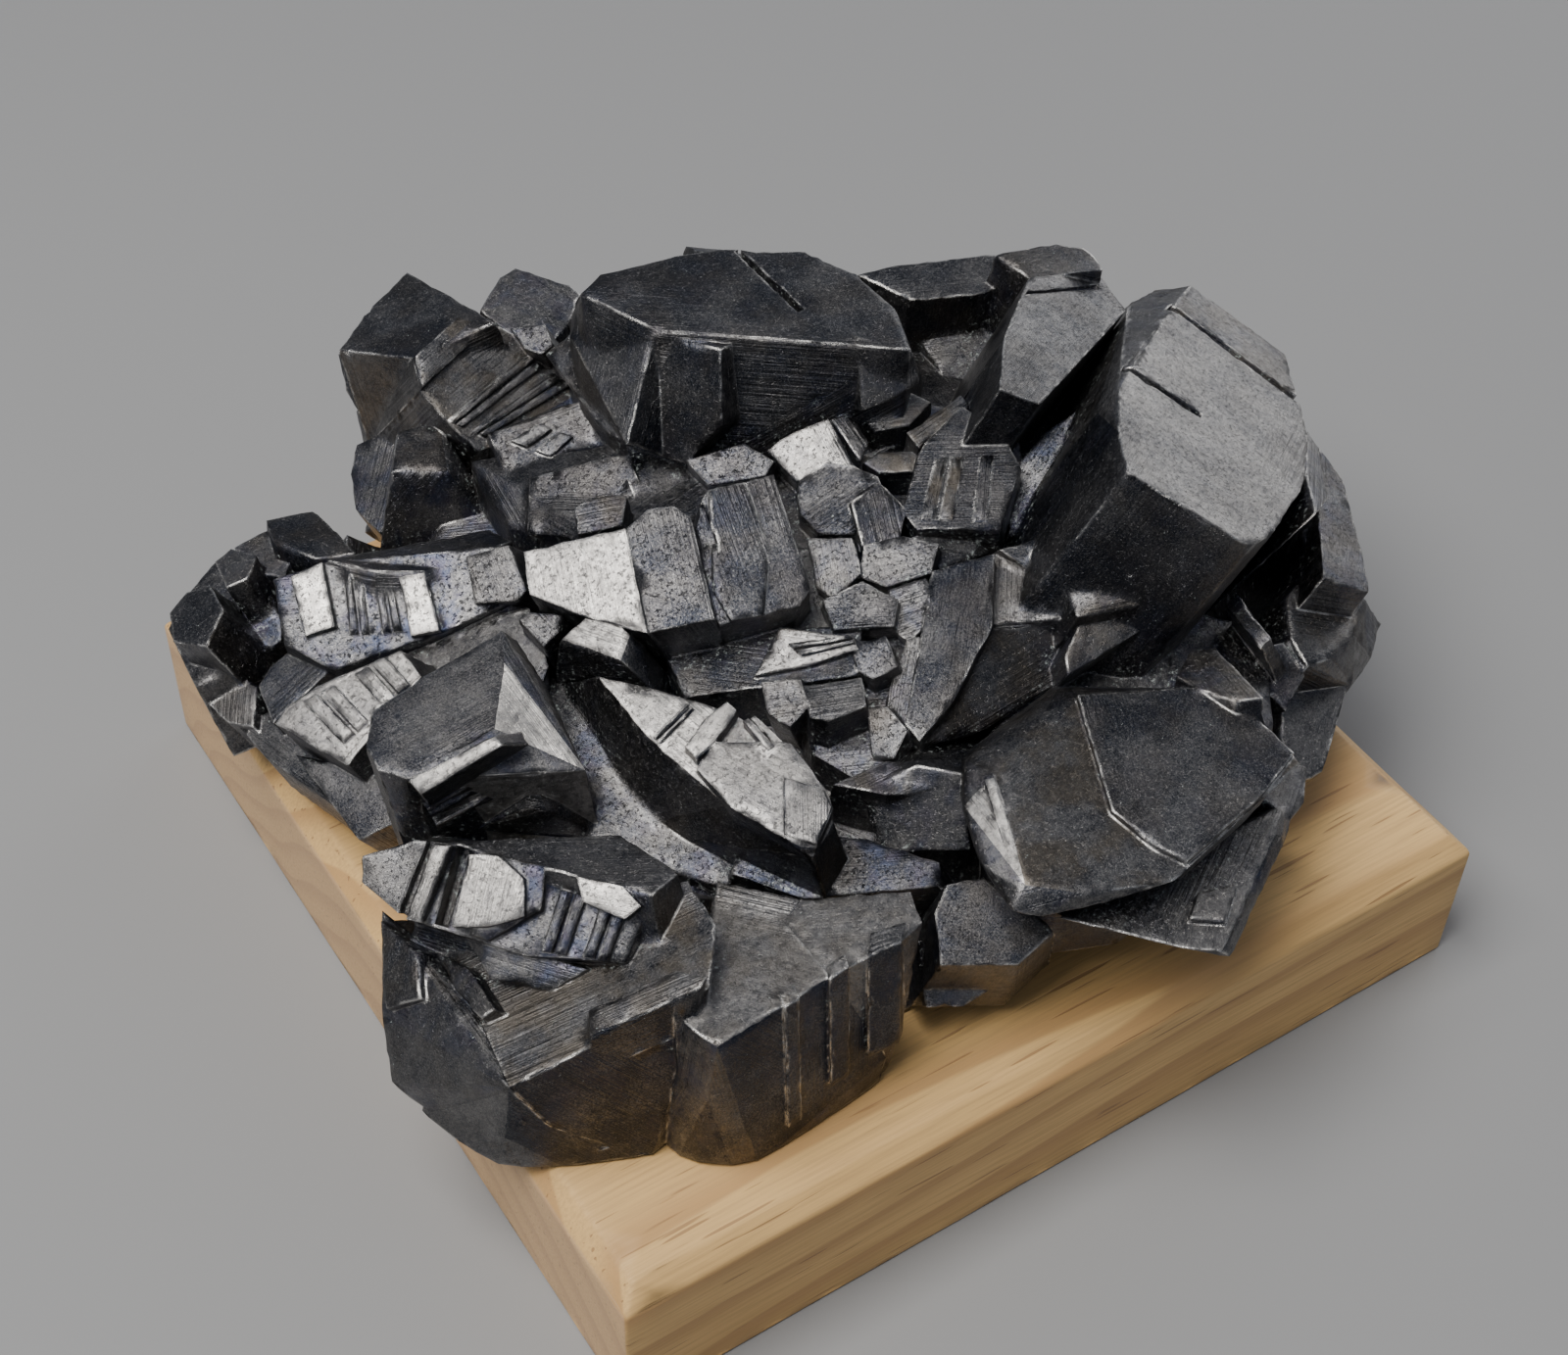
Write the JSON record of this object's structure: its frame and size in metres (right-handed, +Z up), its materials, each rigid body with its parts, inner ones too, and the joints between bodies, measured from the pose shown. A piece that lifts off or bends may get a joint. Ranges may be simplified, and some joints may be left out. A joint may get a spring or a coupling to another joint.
{
  "type": "bournonite specimen",
  "caption": "Dark metallic cluster of intergrown tabular and prismatic crystals lying on a square pale pine block.",
  "frame": {"origin": "centre of the wooden block's underside", "axes": "X and Y along the block's sides, the picture looking at the corner between -X and -Y; +Z up"},
  "size_m": [0.1205, 0.117, 0.0591],
  "materials": {
    "bournonite": "submetallic, steel grey to black, worn bright along the edges",
    "pine": "planed, unvarnished"
  },
  "bodies": {
    "root": {"bournonite_cluster": "bournonite", "wood_base": "pine"}
  },
  "joints": []
}
